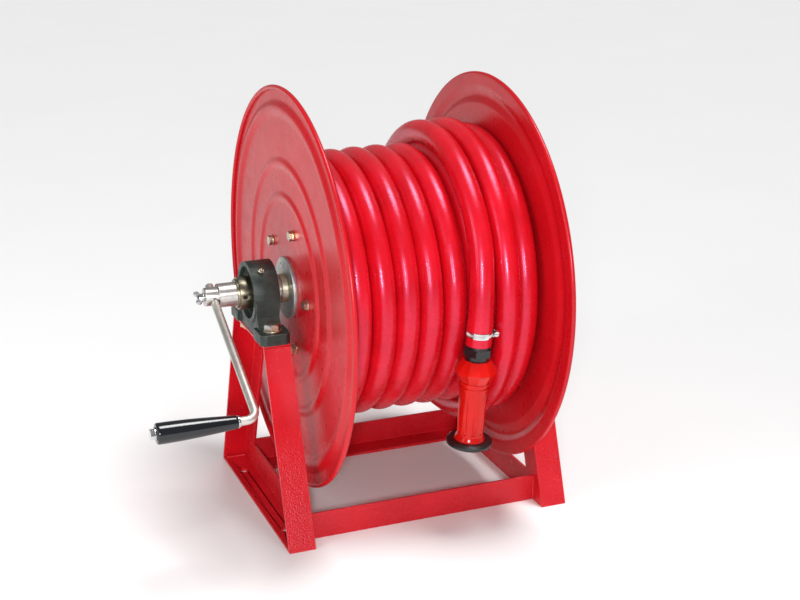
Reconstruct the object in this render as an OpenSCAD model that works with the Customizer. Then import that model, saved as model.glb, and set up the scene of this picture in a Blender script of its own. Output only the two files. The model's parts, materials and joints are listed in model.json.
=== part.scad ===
/* [Frame] */
// Height of the axle above the floor
axle_h = 337; // [330:1:360]
// Width over the two end frames
frame_w = 440; // [440:1:444]
// Depth of the base
base_depth = 356; // [340:2:380]
// Height of the bearing rails
rail_h = 280; // [270:1:282]
// Depth of an end frame at the bearing rail
top_depth = 156; // [150:2:170]
// Flange width of the angle iron
angle_w = 40; // [36:1:42]
// Thickness of the angle iron
angle_t = 4; // [3:0.5:5]
// Distance from the axle's plane to a cross rail's outer face
cross_y = 146; // [142:1:150]
// Distance of the floor bolts from the axle's plane
floor_hole_y = 110; // [90:5:120]
// Diameter of a floor bolt hole
floor_hole_d = 11; // [9:1:13]

/* [Drum] */
// Diameter over the discs' rolled rims
disc_d = 591; // [570:1:600]
// Clear width between the discs
drum_w = 310; // [306:1:314]
// Thickness of the disc sheet
sheet_t = 2; // [1.5:0.5:2.5]
// Diameter of the drum core
core_d = 257; // [252:1:258]
// Number of tie rods between the discs
tie_rods_n = 5; // [3:1:5]
// Radius of the circle of tie rods
tie_rod_r = 90; // [88:1:90]

/* [Shaft and bearings] */
// Diameter of the shaft
shaft_d = 35; // [34:0.5:35]
// Distance from the middle of the reel to a bearing's middle
bearing_x = 202; // [201:0.5:203]
// Distance of a housing bolt from the axle's plane
housing_bolt_y = 63.5; // [62:0.5:65]
// Radius of a bearing ball
ball_r = 5.5; // [5:0.1:5.5]

/* [Crank] */
// Radius of the crank
crank_r = 240; // [200:5:250]
// Angle of the arm below the horizontal
crank_angle = 26.5; // [0:0.5:60]
// Diameter of the crank's rod
rod_d = 12; // [11:0.5:12]
// Length of the grip
grip_l = 109.5; // [100:0.5:120]
// Diameter of the grip's outer end
grip_d = 29; // [26:1:32]

/* [Hose and nozzle] */
// Outer diameter of the hose
hose_d = 35; // [34:0.5:35]
// Outer radius of the hose's full layers
coil_r = 198.5; // [195:0.5:198.5]
// Outer radius of the hose's top turns
top_turn_r = 229.5; // [225:0.5:231]
// Length of the nozzle from the end of the hose to its bumper
nozzle_l = 146; // [138:1:152]

/* [Hidden] */
$fn = 64;

powder_red = "#c8202a";
gloss_red = "#d3232f";
hose_red = "#e02433";
nozzle_red = "#cf2536";
brass = "#b5934f";
iron_green = "#3c4643";
zinc = "#c9c4a4";
stainless = "#c4c4c0";
black = "#1a1a1c";

gap = 0.05;                            // running clearance on a radius
seat = 0.02;                           // clearance of a part that is pressed or screwed in
frame_x = frame_w / 2;                 // outer face of an end frame
web_x = frame_x - angle_w;             // inner face of an end frame
half_base = base_depth / 2;
half_top = top_depth / 2;
lean = (half_base - half_top) / rail_h;
lean_cos = cos(atan(lean));

shaft_r = shaft_d / 2;
shaft_bore_r = 11;
shaft_left = -284;
shaft_right = 275;
journal_x = 240;                       // where the swivel's journal starts
journal_r = 15;
end_r = 13.5;                          // the shaft is turned down where the crank goes through
end_step_x = -264.5;
crank_x = -271;                        // the cross hole that holds the crank
port_x = 129.5;                        // where the riser leaves the shaft

race_r = 26.6;                         // radius of the circle of balls
ball_n = 9;
outer_ring_r = 36;
inner_ring_r = 23;
ring_half = 10;                        // half the width of the outer ring
housing_r = 45.4;
foot_h = 16;
housing_bolt_r = 7;

disc_x = drum_w / 2;                   // inner face of a disc
hub_x = disc_x + sheet_t;              // outer face of a disc
hub_r = 46;
hub_t = 6;
boss_r = 21;
boss_l = 9;
hub_screw_pcd_r = 37;
hub_screw_n = 4;
core_r = core_d / 2;
core_wall = 2.5;
core_reach = disc_x + press(core_r - core_wall) - 0.1;  // its rims stand in the discs' inner ribs
tie_rod_d = 20;
disc_bolt_r = 4;

hose_r = hose_d / 2;
hose_bore_r = 12.5;
start_r = core_r + hose_r + 10;        // height of the elbow's middle above the axle
start_tilt = 18;                       // the elbow's outlet points forward and this far down
start_face = 21;                       // end of the hose on the elbow's barbed outlet
start_end = 60;                        // where the coil takes over from the straight start
pocket_l = 84;                         // room in the coil for the elbow and the start
turn_gap_x = 84;                       // between the last turn and the top turns beside it
last_turn_x = 37.5;
coil_left = -137.5;
coil_right = 150;

// where the hose lies below the last turn, from the axle's height
tail_route = [[54.5, -217.4, 0], [53.6, -217.1, -15], [52.7, -216.1, -30], [52, -215, -44]];
hose_end = tail_route[3];              // end of the hose, where the nozzle starts
nozzle_tilt = [4.4, 2.6, 0];
nozzle_way = [-cos(nozzle_tilt.x) * sin(nozzle_tilt.y), sin(nozzle_tilt.x),
              -cos(nozzle_tilt.x) * cos(nozzle_tilt.y)];

// ---------- places ----------

module on_axle(x = 0) translate([x, 0, axle_h]) rotate([0, 90, 0]) children();

module turned_left(points, fn = 96) on_axle() rotate_extrude($fn = fn) polygon(points);

module both_sides() { children(); mirror([1, 0, 0]) children(); }

module round_axle(n, r, start = 0)
    for (i = [0 : n - 1])
        translate([0, 0, axle_h]) rotate([start + i * 360 / n, 0, 0]) translate([0, r, 0]) children();

module along_x() rotate([0, 90, 0]) children();

// Local z points up the nozzle, and s runs down it from the end of the hose
module on_nozzle(s = 0)
    translate([0, 0, axle_h]) translate(hose_end) rotate(nozzle_tilt) translate([0, 0, -s]) children();

module ring(r1, r2, h) {
    difference() {
        cylinder(r = r2, h = h);
        translate([0, 0, -1]) cylinder(r = r1, h = h + 2);
    }
}

module hex_prism(flats, h) cylinder(r = flats / 2 / cos(30), h = h, $fn = 6);

// ---------- frame of welded angle iron ----------

// A slab that leans like the front leg, between two depths behind its outer face
module leg_slab(d0, d1, x0, x1, z1) {
    y0 = -half_base + d0 / lean_cos;
    y1 = -half_base + d1 / lean_cos;
    translate([x0, 0, 0]) rotate([90, 0, 90]) linear_extrude(x1 - x0)
        polygon([[y0, 0], [y1, 0], [y1 + lean * z1, z1], [y0 + lean * z1, z1]]);
}

module leg() {
    top = rail_h - angle_t;
    leg_slab(0, angle_t, -frame_x, -web_x, top);
    leg_slab(0, angle_w, -web_x - angle_t, -web_x, top);
}

module leg_pair() { leg(); mirror([0, 1, 0]) leg(); }

// Outline of an end frame, which trims the ends of its rails to the legs' slope
module end_outline() {
    translate([-frame_x, 0, 0]) rotate([90, 0, 90]) linear_extrude(angle_w)
        polygon([[-half_base, 0], [half_base, 0], [half_top, rail_h], [-half_top, rail_h]]);
}

module base_rail() {
    difference() {
        intersection() {
            union() {
                translate([-frame_x, -half_base, 0]) cube([angle_w, base_depth, angle_t]);
                translate([-web_x - angle_t, -half_base, 0]) cube([angle_t, base_depth, angle_w]);
            }
            end_outline();
        }
        leg_pair();
        for (y = [-floor_hole_y, floor_hole_y])
            translate([-frame_x + angle_w * 0.4, y, -1]) cylinder(d = floor_hole_d, h = angle_t + 2);
    }
}

module bearing_rail() {
    half_len = half_base - lean * (rail_h - angle_t);
    difference() {
        union() {
            translate([-frame_x, -half_len, rail_h - angle_t]) cube([angle_w, 2 * half_len, angle_t]);
            translate([-web_x - angle_t, -half_len, rail_h - angle_w])
                cube([angle_t, 2 * half_len, angle_w - angle_t]);
        }
        leg_pair();
        // nothing of the web stands out in front of the leaning legs
        for (s = [0, 1]) mirror([0, s, 0]) leg_slab(-30, 0, -frame_x, -web_x + 1, rail_h - angle_t);
        for (y = [-housing_bolt_y, housing_bolt_y])
            translate([-bearing_x, y, rail_h - angle_t - 1])
                cylinder(r = housing_bolt_r + 0.5, h = angle_t + 2);
    }
}

module cross_rail() {
    translate([-web_x, -cross_y, 0]) cube([2 * web_x, angle_t, angle_w]);
    translate([-web_x, -cross_y, 0]) cube([2 * web_x, angle_w, angle_t]);
}

module left_front_leg() color(powder_red) leg();
module left_rear_leg() color(powder_red) mirror([0, 1, 0]) leg();
module left_base_rail() color(powder_red) base_rail();
module left_bearing_rail() color(powder_red) bearing_rail();
module right_front_leg() color(powder_red) mirror([1, 0, 0]) leg();
module right_rear_leg() color(powder_red) mirror([1, 0, 0]) mirror([0, 1, 0]) leg();
module right_base_rail() color(powder_red) mirror([1, 0, 0]) base_rail();
module right_bearing_rail() color(powder_red) mirror([1, 0, 0]) bearing_rail();
module front_cross_rail() color(powder_red) cross_rail();
module rear_cross_rail() color(powder_red) mirror([0, 1, 0]) cross_rail();

// ---------- pillow block bearings ----------

foot_w = 44;
foot_half_l = 83.5;
foot_corner = 9;
nipple_angle = 127;
nipple_x = -bearing_x - 4;
nipple_r = 2.5;

// One foot of a housing, with rounded outer corners
module housing_foot() {
    inner = 42;
    translate([-bearing_x, 0, rail_h]) {
        translate([-foot_w / 2, inner, 0]) cube([foot_w, foot_half_l - inner - foot_corner, foot_h]);
        translate([-foot_w / 2 + foot_corner, inner, 0])
            cube([foot_w - 2 * foot_corner, foot_half_l - inner, foot_h]);
        for (s = [-1, 1])
            translate([s * (foot_w / 2 - foot_corner), foot_half_l - foot_corner, 0])
                cylinder(r = foot_corner, h = foot_h);
    }
}

module housing() {
    ring_w = 38;
    web_w = 34;
    shoulder = 52;                     // half the width of the web at the foot
    slot = 2;                          // how far a bolt hole is drawn out each way
    hole_r = housing_bolt_r + 1;
    rise = axle_h - rail_h;
    difference() {
        union() {
            on_axle(-bearing_x - ring_w / 2) cylinder(r = housing_r, h = ring_w, $fn = 96);
            translate([-bearing_x - web_w / 2, 0, rail_h]) rotate([90, 0, 90]) linear_extrude(web_w)
                polygon([[-shoulder, 0], [shoulder, 0], [shoulder, foot_h + 2], [housing_r, 30],
                         [housing_r, rise], [-housing_r, rise], [-housing_r, 30], [-shoulder, foot_h + 2]]);
            housing_foot();
            mirror([0, 1, 0]) housing_foot();
        }
        on_axle(-bearing_x - ring_w) cylinder(r = outer_ring_r + seat, h = 2 * ring_w, $fn = 96);
        for (s = [0, 1]) on_axle(-bearing_x) mirror([0, 0, s]) translate([0, 0, ring_half + 1])
            cylinder(r1 = outer_ring_r + 1, r2 = outer_ring_r + 3, h = 10, $fn = 96);
        for (y = [-housing_bolt_y, housing_bolt_y]) translate([-bearing_x, y, rail_h - 1]) {
            translate([0, -slot, 0]) cylinder(r = hole_r, h = foot_h + 12);
            translate([0, slot, 0]) cylinder(r = hole_r, h = foot_h + 12);
            translate([-hole_r, -slot, 0]) cube([2 * hole_r, 2 * slot, foot_h + 12]);
            // flat seat for the bolt's washer
            translate([0, 0, foot_h + 1]) cylinder(r = 15, h = 12);
        }
        at_nipple() translate([0, 0, -2]) cylinder(r = nipple_r + seat, h = 20);
    }
}

module ball_groove()
    on_axle(-bearing_x) rotate_extrude($fn = 96) translate([race_r, 0]) circle(r = ball_r + gap, $fn = 32);

module outer_ring() difference() {
    on_axle(-bearing_x - ring_half) ring(race_r + 3.9, outer_ring_r, 2 * ring_half, $fn = 96);
    ball_groove();
}

// The ring is one piece with the collar that locks it to the shaft
module inner_ring() {
    collar_r = 24;
    step = 3;
    collar_out = -bearing_x - 36;
    collar_in = -bearing_x - 12;
    ring_in = -bearing_x + 18;
    difference() {
        turned_left([[shaft_r + seat, collar_out], [collar_r - step, collar_out],
                     [collar_r - step, collar_out + step], [collar_r, collar_out + step],
                     [collar_r, collar_in], [inner_ring_r, collar_in],
                     [inner_ring_r, ring_in], [shaft_r + seat, ring_in]]);
        ball_groove();
        at_set_screws() cylinder(r = set_screw_r + seat, h = 20);
    }
}

module ball_cage() {
    difference() {
        on_axle(-bearing_x - 4) ring(race_r - 2, race_r + 2.2, 8);
        round_axle(ball_n, race_r) translate([-bearing_x, 0, 0]) sphere(r = ball_r + 0.15, $fn = 32);
    }
    round_axle(ball_n, race_r) translate([-bearing_x, 0, 0]) sphere(r = ball_r, $fn = 32);
}

module seal_pair()
    for (x = [-bearing_x - 8.5, -bearing_x + 7.3])
        on_axle(x) ring(inner_ring_r + 1.3, race_r + 3.8, 1.2);

// The locking collar's screws point at the axle
set_screw_r = 3;
set_screw_l = 5.2;

module at_set_screws()
    for (a = [60, 180])
        translate([-bearing_x - 26, 0, axle_h]) rotate([a, 0, 0]) rotate([-90, 0, 0])
            translate([0, 0, shaft_r + 0.1]) children();

module set_screw() difference() {
    cylinder(r = set_screw_r, h = set_screw_l);
    translate([0, 0, set_screw_l - 2.4]) hex_prism(3, 4);
}

module at_nipple()
    translate([nipple_x, 0, axle_h]) rotate([nipple_angle, 0, 0]) rotate([-90, 0, 0])
        translate([0, 0, outer_ring_r + 2]) children();

module grease_nipple() at_nipple() {
    cylinder(r = nipple_r, h = 9);
    translate([0, 0, 8.2]) hex_prism(7, 3);
    translate([0, 0, 11.2]) cylinder(r1 = 2.6, r2 = 1.8, h = 3.5);
    translate([0, 0, 14.7]) sphere(r = 2.1, $fn = 24);
}

module at_housing_bolts()
    both_sides() for (y = [-housing_bolt_y, housing_bolt_y]) translate([-bearing_x, y, 0]) children();

washer_t = 2.5;
nut_h = 11;

module left_housing() color(iron_green) housing();
module right_housing() color(iron_green) mirror([1, 0, 0]) housing();
module outer_rings() color(stainless) both_sides() outer_ring();
module inner_rings() color(stainless) both_sides() inner_ring();
module bearing_seals() color(black) both_sides() seal_pair();
module set_screws() color(black) both_sides() at_set_screws() set_screw();
module left_ball_cage() color(stainless) ball_cage();
module right_ball_cage() color(stainless) mirror([1, 0, 0]) ball_cage();
module grease_nipples() color(zinc) both_sides() grease_nipple();

module housing_bolts() color(zinc) at_housing_bolts() {
    under_head = rail_h + foot_h + washer_t;
    tip = rail_h - angle_t - washer_t - nut_h - 3;
    translate([0, 0, tip]) cylinder(r = housing_bolt_r - seat, h = under_head - tip);
    translate([0, 0, under_head]) intersection() {
        hex_prism(21, 8.8);
        cylinder(r1 = 18, r2 = 9.8, h = 8.8);
    }
}

module housing_washers() color(zinc) at_housing_bolts() {
    translate([0, 0, rail_h + foot_h]) ring(housing_bolt_r + 0.3, 14, washer_t);
    // narrow ones below, between the legs
    translate([0, 0, rail_h - angle_t - washer_t]) ring(housing_bolt_r + 0.3, 11.5, washer_t);
}

module housing_nuts() color(zinc) at_housing_bolts()
    translate([0, 0, rail_h - angle_t - washer_t - nut_h]) difference() {
        hex_prism(21, nut_h);
        translate([0, 0, -1]) cylinder(r = housing_bolt_r, h = nut_h + 2);
    }

// ---------- shaft, hubs and discs ----------

chamfer = 1.2;
clip_x = 267.4;                        // groove of the ring that holds the swivel on
clip_t = 1.7;
clip_r = 14;
wing_screw_r = 4;

// The crank's hole through the shaft, countersunk at both ends
module cross_hole() {
    sink = 1.4;
    translate([crank_x, 0, axle_h]) rotate([crank_angle, 0, 0]) rotate([90, 0, 0]) {
        cylinder(d = rod_d + 2 * gap, h = 2 * end_r + 2, center = true);
        for (s = [0, 1]) mirror([0, 0, s])
            translate([0, 0, end_r - sink]) cylinder(r1 = rod_d / 2, r2 = rod_d / 2 + sink, h = sink + 0.1);
    }
}

module main_shaft() color(stainless) {
    difference() {
        turned_left([[0, shaft_left], [end_r - chamfer, shaft_left], [end_r, shaft_left + chamfer],
                     [end_r, end_step_x], [shaft_r - 0.8, end_step_x], [shaft_r, end_step_x + 0.8],
                     [shaft_r, journal_x], [journal_r, journal_x], [journal_r, clip_x], [clip_r, clip_x],
                     [clip_r, clip_x + clip_t], [journal_r, clip_x + clip_t], [journal_r, shaft_right - 1],
                     [journal_r - 1, shaft_right], [0, shaft_right]]);
        on_axle(port_x - 14) cylinder(r = shaft_bore_r, h = shaft_right - port_x + 20);
        translate([port_x, 0, axle_h]) cylinder(r = riser_r + seat, h = 30);
        cross_hole();
        on_axle(shaft_left - 1) cylinder(r = wing_screw_r + gap, h = crank_x - shaft_left + 1);
    }
}

module hub() {
    x0 = -hub_x - hub_t;
    difference() {
        turned_left([[shaft_r + seat, x0 - boss_l], [boss_r - 1, x0 - boss_l],
                     [boss_r, x0 - boss_l + 1], [boss_r, x0], [hub_r - 1, x0], [hub_r, x0 + 1],
                     [hub_r, -hub_x], [shaft_r + seat, -hub_x]]);
        at_hub_screws() cylinder(r = 3 + seat, h = 30, center = true);
        at_hub_screws() translate([0, 0, hub_t - 3.3]) cylinder(r1 = 3, r2 = 6.3, h = 3.3);
    }
}

// Local z points outwards, and z = 0 is the outer face of the disc
module at_hub_screws()
    round_axle(hub_screw_n, hub_screw_pcd_r, 63) translate([-hub_x, 0, 0]) rotate([0, -90, 0]) children();

module hub_screw() {
    difference() {
        union() {
            translate([0, 0, -9]) cylinder(r = 3 - seat, h = 9 + hub_t - 1);
            translate([0, 0, hub_t - 3.1]) cylinder(r1 = 3 - seat, r2 = 6, h = 3);
        }
        translate([0, 0, hub_t - 3]) hex_prism(4, 4);
    }
}

module hub_nut() difference() {
    translate([0, 0, -sheet_t - 5]) hex_prism(10, 5);
    cylinder(r = 3, h = 40, center = true);
}

// Fills the shaft between the bearing and the hub, with a shallow groove round its middle
module spacer() {
    play = 0.4;
    groove = 1.2;
    x0 = -bearing_x + 18 + play;
    x1 = -hub_x - hub_t - boss_l - play;
    mid = (x0 + x1) / 2;
    turned_left([[shaft_r + seat, x0], [boss_r, x0], [boss_r, mid - 1.3], [boss_r - groove, mid - 0.7],
                 [boss_r - groove, mid + 0.7], [boss_r, mid + 1.3], [boss_r, x1], [shaft_r + seat, x1]]);
}

// Height of a pressed rib above the disc, at distance d from its middle
function rib(d, half) = abs(d) < half ? 0.5 * (1 + cos(180 * d / half)) : 0;
function press(r) = 3 * rib(r - 134, 10) + 3 * rib(r - 183, 11) + 4.5 * rib(r - 262, 15);
function rib_steps(c, half) = [for (i = [-4 : 4]) c + half * i / 4];

disc_edge_r = disc_d / 2;
bead_r = 3.5;

module disc() {
    rs = concat([18], rib_steps(134, 10), rib_steps(183, 11), rib_steps(262, 15), [disc_edge_r - bead_r]);
    difference() {
        union() {
            turned_left(concat(
                [for (r = rs) [r, -disc_x - press(r)]],
                [for (i = [len(rs) - 1 : -1 : 0]) [rs[i], -disc_x - sheet_t - press(rs[i])]]), 128);
            on_axle(-disc_x - bead_r) rotate_extrude($fn = 128)
                translate([disc_edge_r - bead_r, 0]) circle(r = bead_r, $fn = 24);
        }
        round_axle(tie_rods_n, tie_rod_r, 36) translate([-disc_x - 10, 0, 0])
            along_x() cylinder(r = disc_bolt_r + 0.5, h = 20);
        at_hub_screws() cylinder(r = 3.3, h = 30, center = true);
    }
}

module spacers() color(stainless) both_sides() spacer();
module left_hub() color(zinc) hub();
module right_hub() color(zinc) mirror([1, 0, 0]) hub();
module hub_screws() color(zinc) both_sides() at_hub_screws() hub_screw();
module hub_nuts() color(zinc) both_sides() at_hub_screws() hub_nut();
module left_disc() color(gloss_red) disc();
module right_disc() color(gloss_red) mirror([1, 0, 0]) disc();

module drum_core() color(gloss_red) difference() {
    on_axle(-core_reach) ring(core_r - core_wall, core_r, 2 * core_reach, $fn = 96);
    translate([port_x, 0, axle_h]) cylinder(r = riser_r + 0.5, h = core_r + 10);
}

module tie_rods() color(zinc) round_axle(tie_rods_n, tie_rod_r, 36) difference() {
    translate([seat - disc_x, 0, 0]) along_x() cylinder(d = tie_rod_d, h = drum_w - 2 * seat);
    for (s = [-1, 1]) translate([s * disc_x, 0, 0]) along_x()
        cylinder(r = disc_bolt_r + seat, h = 50, center = true);
}

module at_disc_bolts() both_sides() round_axle(tie_rods_n, tie_rod_r, 36)
    translate([-hub_x, 0, 0]) rotate([0, -90, 0]) children();

module disc_bolts() color(zinc) at_disc_bolts() {
    translate([0, 0, -22]) cylinder(r = disc_bolt_r, h = 23.6);
    translate([0, 0, 1.6]) hex_prism(13, 5.3);
}

module disc_washers() color(zinc) at_disc_bolts() ring(disc_bolt_r + 0.2, 8.5, 1.6);

// ---------- water path inside the drum ----------

riser_r = 13;

module at_start() translate([port_x, 0, axle_h + start_r]) children();
// The elbow's outlet runs along local z
module on_outlet(s = 0) at_start() rotate([90 + start_tilt, 0, 0]) translate([0, 0, s]) children();

module riser_pipe() color(zinc) translate([port_x, 0, axle_h]) difference() {
    translate([0, 0, 12]) cylinder(r = riser_r, h = start_r - 18);
    cylinder(r = riser_r - 3.5, h = start_r + 10);
    along_x() cylinder(r = shaft_bore_r, h = 60, center = true);
}

module outlet_elbow() color(zinc) difference() {
    elbow_r = 16;
    water_r = 9.5;
    union() {
        at_start() translate([0, 0, 0.3 - hose_r]) cylinder(r = elbow_r, h = hose_r);
        at_start() sphere(r = elbow_r + 0.8);
        on_outlet() cylinder(r = elbow_r, h = start_face - 1);
        on_outlet() cylinder(r = hose_bore_r - gap, h = start_end - 4);
    }
    // socket for the riser
    at_start() translate([0, 0, -hose_r - 6]) cylinder(r = riser_r + seat, h = hose_r + 0.1);
    at_start() translate([0, 0, -hose_r]) cylinder(r = water_r, h = hose_r);
    at_start() sphere(r = water_r + 0.5);
    on_outlet() cylinder(r = water_r, h = start_end);
}

module hose_start() color(hose_red) on_outlet(start_face) ring(hose_bore_r, hose_r, start_end - start_face);

// A worm-drive clamp round the z axis, with its screw housing towards +X
module worm_clamp(r) {
    difference() {
        union() {
            cylinder(r = r + 1, h = 9);
            translate([r - 1, -6.5, -0.5]) cube([8, 13, 10]);
        }
        translate([0, 0, -1]) cylinder(r = r + 0.1, h = 12);
        translate([r + 4, 0, 4.5]) rotate([90, 0, 0]) cylinder(r = 3 + gap, h = 40, center = true);
    }
}

module start_clamp() color(stainless) on_outlet(36) rotate([0, 0, 90]) worm_clamp(hose_r);

// ---------- hose as it lies on the drum ----------

module hose_coil() color(hose_red) difference() {
    inner = core_r + 0.2;
    turned_left([[inner, coil_left], [coil_r - 12, coil_left], [coil_r, coil_left + 12],
                 [coil_r, turn_gap_x + 0.5], [top_turn_r - 8, turn_gap_x + 0.5],
                 [top_turn_r, turn_gap_x + 8], [top_turn_r, turn_gap_x + 24],
                 [top_turn_r - 8, coil_right - 10], [top_turn_r - 18, coil_right], [inner, coil_right]]);
    // room for the elbow and the clamp at the start of the hose
    on_outlet(start_end - pocket_l) translate([-hose_r - 1, -40, 0]) cube([50, 68, pocket_l]);
}

// The turn that ends at the front of the drum
module hose_last_turn() color(hose_red) {
    inner = coil_r + 0.3;
    outer = top_turn_r + 2.5;
    edge = 9;
    translate([0, 0, axle_h]) rotate([0, 90, 0]) rotate([0, 0, -90])
        rotate_extrude(angle = -190, $fn = 96)
            polygon([[inner, last_turn_x], [outer - edge, last_turn_x], [outer, last_turn_x + edge],
                     [outer, turn_gap_x - edge], [outer - edge, turn_gap_x], [inner, turn_gap_x]]);
}

function unit(v) = v / norm(v);
// Direction of a route at point i
function heading(p, i) = unit(p[min(i + 1, len(p) - 1)] - p[max(i - 1, 0)]);
function side_axis(d) = unit(cross(d, [0, 1, 0]));
function ring_points(c, d, r, n) =
    let (u = side_axis(d), w = cross(d, u))
    [for (k = [0 : n - 1]) c + r * (cos(360 * k / n) * u + sin(360 * k / n) * w)];

// A closed tube along a route; its first ring lies level, its last square to the nozzle
module tube(p, r, n) {
    last = len(p) - 1;
    down = [0, 0, -1];
    pts = [for (i = [0 : last])
        each ring_points(p[i], i == 0 ? down : i == last ? nozzle_way : heading(p, i), r, n)];
    sides = [for (i = [0 : last - 1], k = [0 : n - 1])
        [i * n + k, i * n + (k + 1) % n, (i + 1) * n + (k + 1) % n, (i + 1) * n + k]];
    caps = [[for (k = [n - 1 : -1 : 0]) k], [for (k = [0 : n - 1]) last * n + k]];
    polyhedron(pts, concat(sides, caps));
}

module hose_tail() color(hose_red) difference() {
    translate([0, 0, axle_h]) tube(tail_route, hose_r, 12);
    on_nozzle(-30) cylinder(r = hose_bore_r, h = 60, center = true);
}

// ---------- crank ----------

// The arm points along -Y and the grip along -X
module on_crank() translate([crank_x, 0, axle_h]) rotate([crank_angle, 0, 0]) children();

bend_r = 16;
arm_back = 21.5;                       // the rod stands out behind the shaft
grip_start = 28;                       // from the arm's middle to the grip
rod_end = grip_start + grip_l + 0.4;

module crank_rod() color(stainless) on_crank() difference() {
    union() {
        translate([0, arm_back, 0]) rotate([90, 0, 0]) cylinder(d = rod_d, h = arm_back + crank_r - bend_r);
        translate([-bend_r, -crank_r + bend_r, 0]) rotate([0, 0, -90])
            rotate_extrude(angle = 90) translate([bend_r, 0]) circle(d = rod_d, $fn = 32);
        translate([-bend_r, -crank_r, 0]) rotate([0, -90, 0]) cylinder(d = rod_d, h = rod_end - bend_r);
    }
    translate([-rod_end - 1, -crank_r, 0]) rotate([0, 90, 0]) cylinder(r = 4 + seat, h = 28);
}

module on_grip(x) translate([-x, -crank_r, 0]) rotate([0, -90, 0]) children();

module crank_collar() color(stainless) on_crank() on_grip(grip_start - 3.6)
    ring(rod_d / 2 + seat, 8.5, 3.2);

module grip() color(black) on_crank() on_grip(grip_start) {
    steps = 12;
    thin_r = 9.2;
    end_r = grip_d / 2;
    edge = 2.5;
    rotate_extrude() polygon(concat(
        [[rod_d / 2 + gap, 0], [thin_r - 1, 0]],
        [for (i = [0 : steps]) let (t = i / steps)
            [thin_r + (end_r - thin_r) * sin(90 * t), 1 + t * (grip_l - 1 - edge)]],
        [[end_r - 0.7, grip_l - 0.7], [end_r - edge, grip_l], [rod_d / 2 + gap, grip_l]]));
}

module grip_bolt() color(stainless) on_crank() on_grip(rod_end) {
    translate([0, 0, -24]) cylinder(r = 4, h = 26);
    ring(4 + seat, 9, 1.6);
    translate([0, 0, 1.6]) hex_prism(13, 5.5);
}

module wing_screw() color(stainless) {
    stem_tip = crank_x - rod_d / 2 - 0.25;
    on_axle(shaft_left - 7) cylinder(r = wing_screw_r, h = stem_tip - shaft_left + 7);
    on_axle(shaft_left - 8) cylinder(r1 = 4.5, r2 = 6, h = 7.5);
    translate([shaft_left, 0, axle_h]) rotate([25, 0, 0]) for (s = [0, 1]) mirror([0, s, 0]) {
        translate([-9, 8.5, 0]) cylinder(r = 4.5, h = 2.6, center = true);
        translate([-10, 0, -1.3]) cube([7, 8, 2.6]);
    }
}

// ---------- clamp, coupling and nozzle ----------

clamp_s = -21.5;                       // the clamp's upper edge, above the end of the hose
clamp_r = hose_r + 0.2;
coupling_l = 22;
collar_l = 33;
ridge_l = 16;
stem_r = 11;
barrel_s = coupling_l + collar_l;
bumper_t = 8;
bumper_r = 33;

module at_clamp_screw() on_nozzle(clamp_s) translate([clamp_r + 4, 0, -4.5]) rotate([90, 0, 0]) children();

module tail_clamp() color(stainless) on_nozzle(clamp_s) translate([0, 0, -9]) worm_clamp(clamp_r);

module clamp_screw() color(zinc) at_clamp_screw() {
    difference() {
        union() {
            translate([0, 0, -7]) cylinder(r = 3, h = 14);
            translate([0, 0, 7]) hex_prism(7, 4);
        }
        translate([-5, -0.5, 10]) cube([10, 1, 3]);
    }
}

// Hexagon above a round shoulder, with a barb inside the hose
module hose_coupling() color(black) on_nozzle() mirror([0, 0, 1]) difference() {
    union() {
        translate([0, 0, 0.1]) cylinder(r = 18, h = coupling_l - 0.1);
        translate([0, 0, 4]) hex_prism(37, 11);
        translate([0, 0, -36]) cylinder(r = hose_bore_r - gap, h = 40);
    }
    translate([0, 0, -40]) cylinder(r = 9, h = 80);
    translate([0, 0, coupling_l - 8]) cylinder(r = stem_r + seat, h = 20);
}

module nozzle_collar() color(nozzle_red) on_nozzle(coupling_l) mirror([0, 0, 1]) difference() {
    // [distance, radius] along the collar, widest in the middle
    rings = [[0, 20], [7, 25], [16, 31], [18, 31], [collar_l, 22.5]];
    // one of its twelve flats faces the coil
    for (i = [0 : len(rings) - 2]) translate([0, 0, rings[i][0]]) rotate([0, 0, 15])
        cylinder(r1 = rings[i][1], r2 = rings[i + 1][1], h = rings[i + 1][0] - rings[i][0], $fn = 12);
    translate([0, 0, -1]) cylinder(r = stem_r + seat, h = collar_l + 2);
}

stem_s = coupling_l - 7.9;             // where the stem starts inside the coupling
seal_s = 70;                           // the stem's seal, inside the barrel
seal_wire_r = 0.6;

// Pipe with a cone on a spider, which shapes the jet as the barrel moves over it
module nozzle_stem() color(brass) on_nozzle(stem_s) mirror([0, 0, 1]) {
    reach = nozzle_l - coupling_l - 18;
    difference() {
        ring(9, stem_r, reach - 24);
        translate([0, 0, seal_s - stem_s - seal_wire_r])
            ring(stem_r + gap - 2 * seal_wire_r, stem_r + 1, 2 * seal_wire_r);
    }
    translate([0, 0, reach - 34]) cylinder(r = 3, h = 38);
    for (a = [0, 60, 120]) rotate([0, 0, a]) translate([-10, -1, reach - 34]) cube([20, 2, 8]);
    translate([0, 0, reach]) cylinder(r1 = 5, r2 = 8, h = 6);
    translate([0, 0, reach + 6]) cylinder(r1 = 8, r2 = 3, h = 4);
}

module stem_seal() color(black) on_nozzle(seal_s)
    rotate_extrude() translate([stem_r - seal_wire_r + gap, 0]) circle(r = seal_wire_r - 0.02, $fn = 20);

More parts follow.
